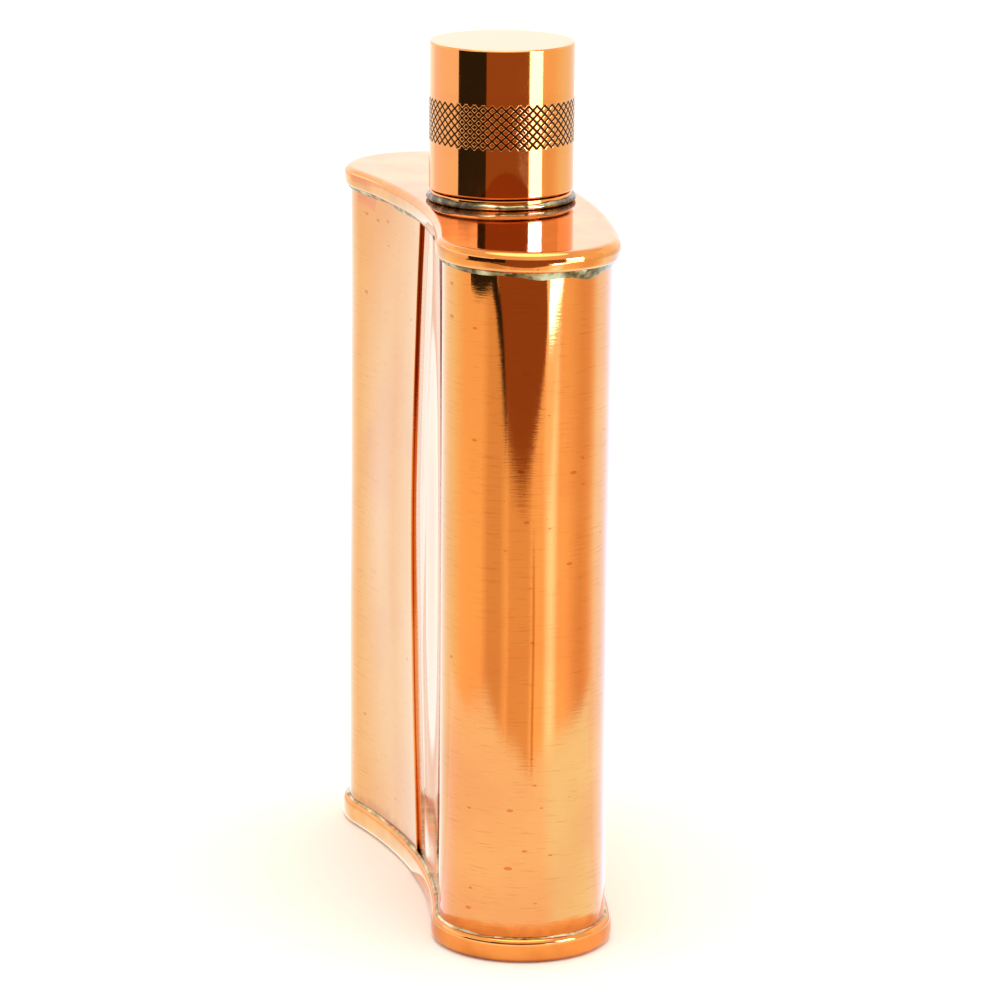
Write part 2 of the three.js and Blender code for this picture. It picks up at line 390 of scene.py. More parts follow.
def makeBuffedCopper():
    settings = buffedCopper
    material, tree, shader, place = startMaterial("buffed_copper_plate")
    cloud = addNode(tree, "TexNoise", {
        "Vector": place, "Scale": grain(settings["cloudSize"])[0], "Detail": 4.0})
    share = addNode(tree, "MapRange", {
        "Value": cloud.outputs["Fac"], "From Min": 0.4, "From Max": 0.75}).outputs[0]
    colour = addNode(tree, "Mix", {
        0: share, 6: linear(settings["copper"]), 7: linear(settings["warm"])}, data_type="RGBA").outputs[2]
    tree.links.new(colour, shader.inputs["Base Color"])
    clearest, dullest = settings["roughnessSpread"]
    smear = addNode(tree, "MapRange", {
        "Value": cloud.outputs["Fac"], "From Min": noiseLow, "From Max": noiseHigh,
        "To Min": settings["roughness"] * clearest, "To Max": settings["roughness"] * dullest}).outputs[0]
    tree.links.new(smear, shader.inputs["Roughness"])
    swim = addNode(tree, "TexNoise", {
        "Vector": place, "Scale": grain(settings["swimSize"])[0], "Detail": 1.0})
    first = addNode(tree, "Bump", {
        "Height": swim.outputs["Fac"], "Strength": 1.0, "Distance": settings["swimDepth"] * mm})
    hairs = addNode(tree, "TexNoise", {
        "Vector": place, "Scale": grain(settings["hairWidth"])[0], "Detail": 2.0})
    second = addNode(tree, "Bump", {
        "Height": hairs.outputs["Fac"], "Strength": 1.0, "Distance": settings["hairDepth"] * mm,
        "Normal": first.outputs[0]})
    tree.links.new(second.outputs[0], shader.inputs["Normal"])
    shader.inputs["Metallic"].default_value = 1.0
    return material


# copper bar, turned on a lathe and polished while it spins: a hard mirror with faint tool rings
turnedCopper = {
    "copper": "E8954B",
    "dark": "2E1509",         # darker colour at the bottom of the knurl's grooves
    "roughness": 0.05,
    "roughnessSpread": (0.7, 1.6),
    "smearSize": 6,
    "ringWidth": 0.45,        # real feed marks are finer; coarser so that they show
    "ringDepth": 0.0007,
    "grooveDepth": 0.05,      # depth at which the darker colour fully covers the copper
    "bandMiddle": 14.7,       # top plate to the middle of the knurled band
    "bandReach": 5.5,         # the darker colour is laid this far above and below it
}


def makeTurnedCopper(outerRadius, plateTop):
    settings = turnedCopper
    bandMiddle = plateTop + settings["bandMiddle"]
    material, tree, shader, place = startMaterial("turned_polished_copper")
    parts = addNode(tree, "SeparateXYZ", {0: place})
    flat = addNode(tree, "CombineXYZ", {0: parts.outputs[0], 1: parts.outputs[1]}).outputs[0]
    outward = addNode(tree, "VectorMath", {0: flat}, operation="LENGTH").outputs["Value"]

    # the copper is darker at the bottom of the knurl's grooves
    depth = addNode(tree, "Math", {0: outerRadius * mm, 1: outward}, operation="SUBTRACT").outputs[0]
    grooveShare = addNode(tree, "MapRange", {
        "Value": depth, "From Min": 0.0, "From Max": settings["grooveDepth"] * mm,
        "To Min": 0.0, "To Max": 1.0}).outputs[0]
    fromBand = addNode(tree, "Math", {
        0: parts.outputs[2], 1: bandMiddle * mm}, operation="SUBTRACT").outputs[0]
    aside = addNode(tree, "Math", {0: fromBand}, operation="ABSOLUTE").outputs[0]
    onBand = addNode(tree, "Math", {
        0: aside, 1: settings["bandReach"] * mm}, operation="LESS_THAN").outputs[0]
    shallow = addNode(tree, "Math", {
        0: depth, 1: settings["grooveDepth"] * 4 * mm}, operation="LESS_THAN").outputs[0]
    outside = addNode(tree, "Math", {0: onBand, 1: shallow}, operation="MULTIPLY").outputs[0]
    darkShare = addNode(tree, "Math", {0: grooveShare, 1: outside}, operation="MULTIPLY").outputs[0]
    colour = addNode(tree, "Mix", {
        0: darkShare, 6: linear(settings["copper"]), 7: linear(settings["dark"])},
        data_type="RGBA").outputs[2]
    tree.links.new(colour, shader.inputs["Base Color"])

    # tool rings run round the side and round the flat top
    sideways = addNode(tree, "CombineXYZ", {0: outward, 2: parts.outputs[2]}).outputs[0]
    ringPlace = addNode(tree, "Mapping", {
        "Vector": sideways, "Scale": grain(settings["ringWidth"], 1, settings["ringWidth"])}).outputs[0]
    rings = addNode(tree, "TexNoise", {"Vector": ringPlace, "Scale": 1.0, "Detail": 2.0})
    bump = addNode(tree, "Bump", {
        "Height": rings.outputs["Fac"], "Strength": 1.0, "Distance": settings["ringDepth"] * mm})
    tree.links.new(bump.outputs[0], shader.inputs["Normal"])
    smear = addNode(tree, "TexNoise", {
        "Vector": place, "Scale": grain(settings["smearSize"])[0], "Detail": 4.0})
    clearest, dullest = settings["roughnessSpread"]
    roughness = addNode(tree, "MapRange", {
        "Value": smear.outputs["Fac"], "From Min": noiseLow, "From Max": noiseHigh,
        "To Min": settings["roughness"] * clearest, "To Max": settings["roughness"] * dullest}).outputs[0]
    tree.links.new(roughness, shader.inputs["Roughness"])
    shader.inputs["Metallic"].default_value = 1.0
    return material


# soft solder, run in with a torch and wiped: silver lumps, dulled to olive and brown where flux stayed
rimSolderColours = {
    "silver": "C6AC74",
    "olive": "7C5F2E",
    "dark": "3A2A12",
    "silverShare": 0.46,
    "roughness": 0.3,
}
footSolderColours = {
    "silver": "D9C69C",
    "olive": "8E7444",
    "dark": "2E2110",
    "silverShare": 0.5,
    "roughness": 0.26,
}
ringSolderColours = {
    "silver": "EFE3B8",
    "olive": "8C8458",
    "dark": "14130A",
    "silverShare": 0.5,
    "roughness": 0.14,
    "shadedSidesFrom": (5.5, 8.5),  # painted shade standing in for dark reflections: the bead is darkened on its two sides, this far from the flask's long axis
}
solderLumps = {
    "patchSize": 4.0,
    "patchSoft": 0.12,
    "fleckSize": 2.2,
    "fleckFrom": (0.08, 0.22),  # flecks start and are full this far above the silver's share
    "fleckShare": 0.9,
    "lumpSize": 1.3,
    "lumpDepth": 0.055,
    "roughnessSpread": (0.7, 1.6),
    # painted side shade of the neck's bead: how strongly it covers, and how the flecks mottle it
    "sideShadeShare": 0.95,
    "mottleFrom": (0.4, 0.52),
    "sideShadeLeast": 0.72,         # how much of the painted side shade holds where it is thinnest
}


def makeWipedSolder(name, settings):
    material, tree, shader, place = startMaterial(name)
    patches = addNode(tree, "TexNoise", {
        "Vector": place, "Scale": grain(solderLumps["patchSize"])[0], "Detail": 5.0})
    silverShare = settings["silverShare"]
    share = addNode(tree, "MapRange", {
        "Value": patches.outputs["Fac"],
        "From Min": silverShare - solderLumps["patchSoft"],
        "From Max": silverShare + solderLumps["patchSoft"]}).outputs[0]
    colour = addNode(tree, "Mix", {
        0: share, 6: linear(settings["silver"]), 7: linear(settings["olive"])}, data_type="RGBA").outputs[2]
    flecks = addNode(tree, "TexNoise", {
        "Vector": place, "Scale": grain(solderLumps["fleckSize"])[0], "Detail": 2.0})
    fleckFrom, fleckTo = solderLumps["fleckFrom"]
    fleckShare = addNode(tree, "MapRange", {
        "Value": flecks.outputs["Fac"],
        "From Min": silverShare + fleckFrom, "From Max": silverShare + fleckTo,
        "To Min": 0.0, "To Max": solderLumps["fleckShare"]}).outputs[0]
    colour = addNode(tree, "Mix", {
        0: fleckShare, 6: colour, 7: linear(settings["dark"])}, data_type="RGBA").outputs[2]
    # painted shade: on its two sides the neck's bead is darkened, mottled by the flecks and made less
    # metallic, standing in for the dark reflections it shows there
    if "shadedSidesFrom" in settings:
        start, full = settings["shadedSidesFrom"]
        across = addNode(tree, "SeparateXYZ", {0: place}).outputs[1]
        aside = addNode(tree, "Math", {0: across}, operation="ABSOLUTE").outputs[0]
        sideShade = addNode(tree, "MapRange", {
            "Value": aside, "From Min": start * mm, "From Max": full * mm,
            "To Min": 0.0, "To Max": solderLumps["sideShadeShare"]}).outputs[0]
        mottleFrom, mottleTo = solderLumps["mottleFrom"]
        sideShadeMottle = addNode(tree, "MapRange", {
            "Value": flecks.outputs["Fac"], "From Min": mottleFrom, "From Max": mottleTo,
            "To Min": solderLumps["sideShadeLeast"], "To Max": 1.0}).outputs[0]
        sideShade = addNode(tree, "Math", {0: sideShade, 1: sideShadeMottle}, operation="MULTIPLY").outputs[0]
        colour = addNode(tree, "Mix", {
            0: sideShade, 6: colour, 7: linear(settings["dark"])}, data_type="RGBA").outputs[2]
        metalShare = addNode(tree, "Math", {0: 1.0, 1: sideShade}, operation="SUBTRACT").outputs[0]
        tree.links.new(metalShare, shader.inputs["Metallic"])
    tree.links.new(colour, shader.inputs["Base Color"])
    lumps = addNode(tree, "TexNoise", {
        "Vector": place, "Scale": grain(solderLumps["lumpSize"])[0], "Detail": 3.0})
    bump = addNode(tree, "Bump", {
        "Height": lumps.outputs["Fac"], "Strength": 1.0, "Distance": solderLumps["lumpDepth"] * mm})
    tree.links.new(bump.outputs[0], shader.inputs["Normal"])
    clearest, dullest = solderLumps["roughnessSpread"]
    dull = addNode(tree, "MapRange", {
        "Value": flecks.outputs["Fac"], "From Min": noiseLow, "From Max": noiseHigh,
        "To Min": settings["roughness"] * clearest, "To Max": settings["roughness"] * dullest}).outputs[0]
    tree.links.new(dull, shader.inputs["Roughness"])
    shader.inputs["Metallic"].default_value = 1.0
    return material


# nitrile rubber, moulded: a matt dark disc with a fine even grain
mouldedRubber = {
    "black": "24211E",
    "bloom": "3A3531",
    "roughness": 0.72,
    "grainSize": 0.35,
    "grainDepth": 0.02,
}


def makeMouldedRubber():
    settings = mouldedRubber
    material, tree, shader, place = startMaterial("moulded_rubber")
    bloom = addNode(tree, "TexNoise", {"Vector": place, "Scale": grain(5)[0], "Detail": 4.0})
    colour = addNode(tree, "Mix", {
        0: bloom.outputs["Fac"], 6: linear(settings["black"]), 7: linear(settings["bloom"])},
        data_type="RGBA").outputs[2]
    tree.links.new(colour, shader.inputs["Base Color"])
    fine = addNode(tree, "TexNoise", {
        "Vector": place, "Scale": grain(settings["grainSize"])[0], "Detail": 2.0})
    bump = addNode(tree, "Bump", {
        "Height": fine.outputs["Fac"], "Strength": 0.6, "Distance": settings["grainDepth"] * mm})
    tree.links.new(bump.outputs[0], shader.inputs["Normal"])
    shader.inputs["Roughness"].default_value = settings["roughness"]
    return material


capOuter = boxOf("cap")[1].x
plateTop = boxOf("top_plate")[1].z
rubbedFinish = makeRubbedCopper()
buffedFinish = makeBuffedCopper()
turnedFinish = makeTurnedCopper(capOuter, plateTop)
rimSolderFinish = makeWipedSolder("wiped_solder", rimSolderColours)
footSolderFinish = makeWipedSolder("sooty_solder", footSolderColours)
ringSolderFinish = makeWipedSolder("bright_solder_painted_side_shade", ringSolderColours)
rubberFinish = makeMouldedRubber()
print("finishes made:", len(bpy.data.materials))


# body: one sheet wrapped round, its ends lapped and soldered on the hip face

body = {
    "sheet": 0.8,
    "lapStep": 0.4,         # the lap was planished, so less than a sheet still stands proud
    "lapWidth": 7.0,        # how far the hidden edge runs on under the outer one
    "joggleLength": 9.0,    # length over which the sheet steps in to pass under
    "cutRound": 0.14,       # rounding of the outer sheet's cut edge
    "crevice": 0.1,         # slit left between the two sheets at the cut edge
    "creviceDepth": 0.5,
    "snug": 0.22,           # the sheet is sprung out against the rims
    "waist": 0.14,          # how far the tall sides draw in at mid height
    "hipBulge": 1.6,        # how far the hollow face springs out between the plates
    "bulgeReach": (13, 34), # the spring fades between these distances from the middle
    "levels": 84,
}


def bodySwell(stations, level):
    # how far the sheet stands out from the plain outline at a height
    points = stations[0]
    share = math.sin(math.pi * (level - bodyLow.z) / (bodyHigh.z - bodyLow.z))
    near, far = body["bulgeReach"]
    onHip = points[:, 1] > halfThick - 2
    faded = 1 - smooth((np.abs(points[:, 0]) - near) / (far - near))
    bulge = body["hipBulge"] * max(share, 0) ** 1.2 * faded
    places = np.column_stack([points, np.full(len(points), level)])
    return body["snug"] + bulge * onHip - body["waist"] * share + unevenness(places) * min(1, 4 * share)


def makeBody():
    sheet, step, joggle = body["sheet"], body["lapStep"], body["joggleLength"]
    cut = body["cutRound"]
    quarter = np.linspace(0, math.pi / 2, 5)[1:]
    near = np.arange(0, joggle, 0.4)
    middle = np.linspace(joggle, outlineLength - 8, int((outlineLength - joggle) / flask["stationStep"]))
    lap = np.linspace(outlineLength - 8, outlineLength - cut, 14)[1:]
    edge = outlineLength - cut + cut * np.sin(quarter)
    foot = np.array([0, 0, -body["creviceDepth"], -body["creviceDepth"]]) + outlineLength
    distances = np.concatenate([near, middle, lap, edge, foot])
    drop = np.zeros(len(distances))
    drop[:len(near)] = step * (1 - smooth(near / joggle))
    drop[-8:-4] = cut * (1 - np.cos(quarter))
    drop[-4:] = [step * 0.6, step - body["crevice"], step - body["crevice"], step]
    hidden = smooth((distances - (outlineLength - body["lapWidth"])) / 0.6) * sheet
    inside = np.where(distances > joggle, hidden, drop) + sheet
    stations = outlineAt(distances)
    low, high = bodyLow.z, bodyHigh.z
    outer = [outlineRing(stations, bodySwell(stations, level) - drop, level)
             for level in np.linspace(low, high, body["levels"])]
    inner = [outlineRing(stations, bodySwell(stations, level) - inside - 0.02, level)
             for level in np.linspace(high, low, 16)]
    vertices, faces = skin(outer + inner)
    piece = makeObject("body_sheet", vertices, faces, rubbedFinish, 38)
    return settle(piece, flaskBody, "body_shell")


makeBody()
print("body made")


# end plates: shallow pans whose rims embrace the body

plate = {
    "thickness": 1.2,
    "gap": 0.3,            # between the rim and the body
    "faceRound": 1.3,      # corner between the flat face and the rim
    "lipRound": 0.85,      # free edge of the rim
    "belly": 0.16,         # how far the rim swells between its two corners
    "lipWander": 0.22,     # unevenness of the hand-filed free edge
    "lipLean": 0.05,       # and how far it leans in
    "hub": 1.5,            # radius of the middle patch of the closed plate
    "roundSteps": 7,
    "stations": 420,
    "tail": 9.3,           # radius of the hole that the neck's tail passes through
}
plateStations = outlineAt(np.arange(plate["stations"]) * outlineLength / plate["stations"])


def cornerPoints(centre, size, first, last, steps):
    # points of a rounded corner, as offset and height, from one direction to another in degrees
    angles = np.radians(np.linspace(first, last, steps + 1))
    return [(centre[0] + size * math.cos(angle), centre[1] + size * math.sin(angle)) for angle in angles]


def rimLevels(faceLevel, lipLevel):
    # the outside of a rim from its flat face to its free edge, as offset and height
    reach = plate["gap"] + plate["thickness"]
    way = 1 if lipLevel > faceLevel else -1
    face, lip, steps = plate["faceRound"], plate["lipRound"], plate["roundSteps"]
    profile = cornerPoints((reach - face, 0), face, -90, 0, steps)
    profile = [(offset, faceLevel + way * (face + level)) for offset, level in profile]
    lipPart = cornerPoints((reach - lip, 0), lip, 0, 90, steps)
    lipPart = [(offset, lipLevel - way * (lip - level)) for offset, level in lipPart]
    (_, start), (_, end) = profile[-1], lipPart[0]
    side = [(reach, start + (end - start) * share) for share in np.linspace(0, 1, 6)[1:-1]]
    middle, half = (faceLevel + lipLevel) / 2, abs(lipLevel - faceLevel) / 2
    swollen = []
    for offset, level in profile + side + lipPart:
        swollen.append((offset - plate["belly"] * ((level - middle) / half) ** 2, level))
    return swollen


def plateRing(offset, level, lipShare):
    points = plateStations[0]
    places = np.column_stack([points, np.full(len(points), 40.0)])
    wander = unevenness(places * 2.3) / (flask["waveSize"] * 6)
    wander = np.clip(wander, -1, 1)
    ring = outlineRing(plateStations, np.asarray(offset) - plate["lipLean"] * (1 + wander) * lipShare, level)
    return ring, wander


def plateRings(profile, lipLevel, faceLevel):
    rings = []
    way = (lipLevel - faceLevel) / abs(lipLevel - faceLevel)
    for offset, level in profile:
        share = abs(level - faceLevel) / abs(lipLevel - faceLevel)
        ring, wander = plateRing(offset, level, share)
        ring[:, 2] -= way * plate["lipWander"] * share ** 2 * (1 + wander) / 2
        rings.append(ring)
    return rings


def towardsCircle(offset, level, radius, shares):
    # rings that pass from the flask's outline to a circle about the neck axis
    start = outlineRing(plateStations, offset, level)
    angles = np.arctan2(start[:, 1], start[:, 0])
    circle = np.column_stack([radius * np.cos(angles), radius * np.sin(angles), np.full(len(start), level)])
    return [start + (circle - start) * share for share in shares]


inward = [0.0, 0.02, 0.1, 0.3, 0.5, 0.7, 0.85, 0.95, 1.0]


def makeTopPlate():
    face = boxOf("top_plate")[1].z
    lip = boxOf("top_plate")[0].z
    under = face - plate["thickness"]
    profile = rimLevels(face, lip)[::-1]
    rings = plateRings(profile, lip, face)
    edge = profile[-1][0]
    rings += towardsCircle(edge, face, plate["tail"], inward)[1:]
    rings += towardsCircle(plate["gap"], under, plate["tail"], inward[::-1])
    rings += plateRings([(plate["gap"], lip)], lip, face)
    vertices, faces = skin(rings)
    piece = makeObject("top_plate_pan", vertices, faces, buffedFinish, 40)
    return settle(piece, flaskBody, "top_plate")


def makeBottomPlate():
    face = boxOf("bottom_plate")[0].z
    lip = boxOf("bottom_plate")[1].z
    inner = face + plate["thickness"]
    profile = rimLevels(face, lip)
    edge = profile[0][0]
    rings = towardsCircle(edge, face, plate["hub"], inward[::-1])[:-1]
    rings += plateRings(profile + [(plate["gap"], lip)], lip, face)
    rings += towardsCircle(plate["gap"], inner, plate["hub"], inward)
    vertices, faces = skin(rings, (0, 0, face), (0, 0, inner))
    piece = makeObject("bottom_plate_pan", vertices, faces, buffedFinish, 40)
    return settle(piece, flaskBody, "bottom_plate")


makeTopPlate()
makeBottomPlate()
print("end plates made")


# solder: run into the two rim joints and round the neck's collar

solder = {
    "stations": 900,
    "topHeight": (0.3, 0.95),    # lowest and highest stretch of the fillet under the top rim
    "topWidth": (0.3, 0.6),
    "bottomHeight": (0.12, 0.38),
    "bottomWidth": (0.15, 0.5),
    "nearEnd": 0.75,             # the end it was soldered from got this much more
    "nearReach": 13,
    "lumpLength": 6.5,
    "blob": {"place": (-48.5, -4.0), "reach": 2.6, "sag": 0.55},
    "neckBead": 0.74,            # height of the bead round the collar
    "ripple": 0.06,              # fine unevenness of the fillets
    "neckRipple": 0.05,
}


def lumpy(points, size, seed):
    # slow lumps with finer ones on them, between 0 and 1
    total = []
    for x, y, z in points:
        coarse = noise.noise(Vector((x / size + seed, y / size, z / size)))
        fine = noise.noise(Vector((x / size * 4 + seed, y / size * 4, z / size * 4)))
        total.append(0.5 + 0.75 * coarse + 0.12 * fine)
    return np.clip(np.array(total), 0, 1)


def rimSolder(name, node, lipLevel, way, heights, widths, seed, finish):
    # a fillet between the body and a rim's free edge; way is 1 where it stands above the rim
    stations = outlineAt(np.arange(solder["stations"]) * outlineLength / solder["stations"])
    places = np.column_stack([stations[0], np.full(solder["stations"], lipLevel)])
    tall = heights[0] + (heights[1] - heights[0]) * lumpy(places, solder["lumpLength"], seed)
    wide = widths[0] + (widths[1] - widths[0]) * lumpy(places, 3.2, seed + 9)
    if way < 0:
        blob = solder["blob"]
        blobX, blobY = blob["place"]
        away = np.hypot(places[:, 0] - blobX, places[:, 1] - blobY)
        tall = tall + blob["sag"] * np.exp(-(away / blob["reach"]) ** 2)
        fromEnd = np.hypot(places[:, 0] + bodyHigh.x, places[:, 1] - endY)
        tall = tall * (1 + solder["nearEnd"] * np.exp(-(fromEnd / solder["nearReach"]) ** 2))
    swell = bodySwell(stations, lipLevel + way)
    rings = []
    for share in np.linspace(0, 1, 9):
        lean = wide * (1 - share) ** 0.8 + 0.1 * (1 - share)
        fade = math.sin(math.pi * min(1, share + 0.15))
        ripple = solder["ripple"] * (lumpy(places + [0, 0, share * 2.2], 1.1, seed + 3) - 0.5) * fade
        rings.append(outlineRing(stations, swell + lean + ripple + 0.04, lipLevel + way * tall * share))
    foot = outlineRing(stations, swell - 0.25, lipLevel + way * tall)
    root = outlineRing(stations, swell - 0.25, lipLevel - way * 0.35)
    crown = outlineRing(stations, swell + wide * 0.92, lipLevel - way * 0.3)
    rings = [root, crown] + rings + [foot]
    if way < 0:
        rings = rings[::-1]
    vertices, faces = skin(rings)
    piece = makeObject(name, vertices, faces, finish, 50)
    return settle(piece, flaskBody, node)


def makeNeckSolder():
    collar = boxOf("neck_spout")[1].x
    face = boxOf("top_plate")[1].z
    outer = boxOf("neck_solder")[1].x
    count = 360
    angles = np.arange(count) * fullTurn / count
    around = np.column_stack([np.cos(angles), np.sin(angles)])
    places = np.column_stack([around * collar, np.full(count, face)])
    bead = solder["neckBead"] * (0.85 + 0.3 * lumpy(places, 3.5, 5))
    reach = (outer - collar) * (0.75 + 0.3 * lumpy(places, 2.6, 15))
    rings = []
    for turn in np.linspace(-90, 90, 10):
        out = collar - 0.1 + reach * math.cos(math.radians(turn))
        level = face - 0.02 + bead * (1 + math.sin(math.radians(turn))) * 0.85
        ripple = solder["neckRipple"] * (lumpy(places + [0, 0, turn / 60], 0.9, 25) - 0.5)
        rings.append(np.column_stack([around * (out + ripple)[:, None], level]))
    for level in (face + 0.9, face + 0.2):
        rings.append(np.column_stack([around * (collar - 0.3), np.full(count, level)]))
    vertices, faces = skin(rings)
    piece = makeObject("neck_solder_bead", vertices, faces, ringSolderFinish, 60)
    return settle(piece, flaskBody, "neck_solder")


topLip, bottomLip = boxOf("top_plate")[0].z, boxOf("bottom_plate")[1].z
topSizes = solder["topHeight"], solder["topWidth"]
bottomSizes = solder["bottomHeight"], solder["bottomWidth"]
rimSolder("top_rim_fillet", "top_rim_solder", topLip + 0.1, -1, *topSizes, 2, rimSolderFinish)
rimSolder("bottom_rim_fillet", "bottom_rim_solder", bottomLip - 0.1, 1, *bottomSizes, 40, footSolderFinish)
makeNeckSolder()
print("solder made")


# neck and cap: turned about the neck axis, with one thread between them

thread = {
    "depth": 0.8,
    "base": 1.3,           # width of a ridge at its foot
    "crest": 0.7,
    "start": 4.8,          # top plate to the first ridge of the neck
    "fade": 0.12,          # share of a turn over which a ridge runs out
    "levelStep": 0.16,
}
coupling = frame["record"]["behaviour"]["couplings"][0]
threadPitch = abs(coupling["ratio"]) * fullTurn / mm
neckTop = boxOf("neck_spout")[1].z
threadDatum = plateTop + thread["start"]
threadTurns = (neckTop - threadDatum) / threadPitch - 1


def ridgeHeight(angles, level):
    # height of the thread's ridge at directions round the axis, at one level
    turns = angles / fullTurn
    lap = np.round((level - threadDatum) / threadPitch - turns)
    away = np.abs((level - threadDatum) - (turns + lap) * threadPitch)
    flank = np.clip((thread["base"] / 2 - away) / ((thread["base"] - thread["crest"]) / 2), 0, 1)
    along = turns + lap
    ends = np.minimum(along, threadTurns - along) / thread["fade"]
    return thread["depth"] * smooth(flank) * np.clip(ends, 0, 1)


def turnedRing(radius, level, count):
    angles = np.arange(count) * fullTurn / count
    reach = np.broadcast_to(radius, count)
    return np.column_stack([reach * np.cos(angles), reach * np.sin(angles), np.full(count, level)])


neck = {
    "bore": 7.6,
    "wall": 2.0,
    "tailStep": 0.6,       # how much slimmer the tail is than the neck
    "tailBevel": 0.15,
    "collarHeight": 1.4,
    "collarRound": 0.25,
    "mouthRound": 0.5,
    "columns": 240,
}


def makeNeck():
    columns = neck["columns"]
    angles = np.arange(columns) * fullTurn / columns
    low = boxOf("neck_spout")[0].z
    collar = boxOf("neck_spout")[1].x
    outer = neck["bore"] + neck["wall"]
    tail = outer - neck["tailStep"]
    collarLow = boxOf("neck_solder")[0].z
    collarHigh = collarLow + neck["collarHeight"]
    edge, lip = neck["collarRound"], neck["mouthRound"]
    bevel, seat = neck["tailBevel"], collarLow - 0.02
    profile = [(neck["bore"], low), (tail - bevel, low), (tail, low + bevel), (tail, seat), (collar, seat)]
    profile += cornerPoints((collar - edge, collarHigh - edge), edge, 0, 90, 5)
    profile += cornerPoints((outer + edge, collarHigh + edge), edge, 270, 180, 4)
    start = collarHigh + edge
    for level in np.arange(start + 0.1, neckTop - lip, thread["levelStep"]):
        profile.append((outer, level))
    profile += cornerPoints((outer - lip, neckTop - lip), lip, 0, 90, 6)
    profile += cornerPoints((neck["bore"] + lip, neckTop - lip), lip, 90, 180, 6)
    rings = []
    for radius, level in profile:
        ridge = ridgeHeight(angles, level) if abs(radius - outer) < 1e-6 and level < neckTop - lip else 0
        rings.append(turnedRing(radius + ridge, level, columns))
    vertices, faces = skin(rings)
    piece = makeObject("neck_turned", vertices, faces, turnedFinish, 40)
    return settle(piece, flaskBody, "neck_spout")


cap = {
    "edge": 0.3,            # rounding of the outer edges
    "boreWall": 2.25,       # outside to the root of the inside thread
    "mouth": 0.5,           # widening of the bore at the open end
    "mouthDepth": 2.2,
    "knurlLow": 10.9,       # plate to the lower edge of the knurled band
    "knurlRows": 5,
    "knurlStarts": 50,      # grooves that wind each way
    "knurlRow": 1.53,       # height of one diamond
    "grooveDepth": 0.16,
    "grooveHalf": 0.17,     # half a groove's width as a share of the spacing
    "runOut": 0.16,         # how far a groove runs past the band's edge
    "stepsPerDiamond": 16,
    "columns": 200,
    "ridgeLift": 0.5,       # the inside ridge lies half a pitch above the neck's
    "ceilingGap": 0.3,      # between the liner and the cap's ceiling
}


def knurlDepth(angles, level, low, high):
    # depth of the two crossing families of grooves at one level
    turns = angles / fullTurn * cap["knurlStarts"]
    rise = (level - low) / cap["knurlRow"]
    deepest = np.zeros(len(angles))
    for phase in (turns + rise, turns - rise):
        away = np.abs(phase - np.round(phase)) / cap["grooveHalf"]
        deepest = np.maximum(deepest, 1 - away)
    beyond = max(low - level, level - high, 0)
    fade = max(0.0, 1 - beyond / cap["runOut"])
    return cap["grooveDepth"] * np.clip(deepest, 0, 1) * fade


def makeCap():
    low, high = boxOf("cap")[0].z, boxOf("cap")[1].z
    outer = capOuter
    bore = outer - cap["boreWall"]
    mouth = bore + cap["mouth"]
    ceiling = boxOf("cap_liner")[1].z + cap["ceilingGap"]
    edge = cap["edge"]
    columns = cap["columns"]
    angles = np.arange(columns) * fullTurn / columns
    rings = [turnedRing(radius, ceiling, columns) for radius in (1.0, bore - 1.5, bore - 0.25)]
    rings.append(turnedRing(bore, ceiling - 0.25, columns))
    mouthTop = low + cap["mouthDepth"]
    lift = cap["ridgeLift"] * threadPitch
    for level in np.arange(ceiling - 0.5, mouthTop + cap["mouth"], -thread["levelStep"]):
        rings.append(turnedRing(bore - ridgeHeight(angles, level - lift), level, columns))
    for radius, level in [(mouth, mouthTop), (mouth, low + 0.3), (mouth + 0.3, low)]:
        rings.append(turnedRing(radius, level, columns))
    for radius, level in cornerPoints((outer - edge, low + edge), edge, -90, 0, 6):
        rings.append(turnedRing(radius, level, columns))

    fine = cap["knurlStarts"] * cap["stepsPerDiamond"]
    fineAngles = np.arange(fine) * fullTurn / fine
    bandLow = plateTop + cap["knurlLow"]
    bandHigh = bandLow + cap["knurlRows"] * cap["knurlRow"]
    step = cap["knurlRow"] / cap["stepsPerDiamond"]
    margin = 3 * step
    for level in (low + edge + 0.05, bandLow - margin - 0.4):
        rings.append(turnedRing(outer, level, columns))
    for level in np.arange(bandLow - margin, bandHigh + margin + step / 2, step):
        depth = knurlDepth(fineAngles, level, bandLow, bandHigh)
        rings.append(turnedRing(outer - depth, level, fine))
    for level in (bandHigh + margin + 0.4, high - edge - 0.05):
        rings.append(turnedRing(outer, level, columns))

    for radius, level in cornerPoints((outer - edge, high - edge), edge, 0, 90, 6):
        rings.append(turnedRing(radius, level, columns))
    for radius in (outer - edge - 0.05, 8, 4, 1.0):
        rings.append(turnedRing(radius, high, columns))
    vertices, faces = skin(rings, (0, 0, ceiling), (0, 0, high))
    piece = makeObject("screw_cap", vertices, faces, turnedFinish, 40)
    return settle(piece, capBody, "cap")


liner = {"edge": 0.35, "printDepth": 0.18, "columns": 160}


def makeLiner():
    low, high = boxOf("cap_liner")
    radius, edge = high.x, liner["edge"]
    columns = liner["columns"]
    profile = []
    for reach in np.linspace(0.8, radius - edge, 40):
        press = math.exp(-((reach - neck["bore"] - neck["wall"] / 2) / 0.8) ** 2)
        profile.append((reach, low.z + liner["printDepth"] * press))  # ring pressed in by the neck's mouth
    profile += cornerPoints((radius - edge, low.z + edge), edge, -90, 0, 5)
    profile += cornerPoints((radius - edge, high.z - edge), edge, 0, 90, 5)
    profile += [(radius - 2, high.z), (0.8, high.z)]
    rings = [turnedRing(reach, level, columns) for reach, level in profile]
    vertices, faces = skin(rings, (0, 0, low.z), (0, 0, high.z))
    piece = makeObject("liner_disc", vertices, faces, rubberFinish, 50)
    return settle(piece, linerBody, "cap_liner")


makeNeck()
makeCap()
makeLiner()
print("neck, cap and liner made")


# studio: pale floor, soft light all round, and panels that only the metal sees

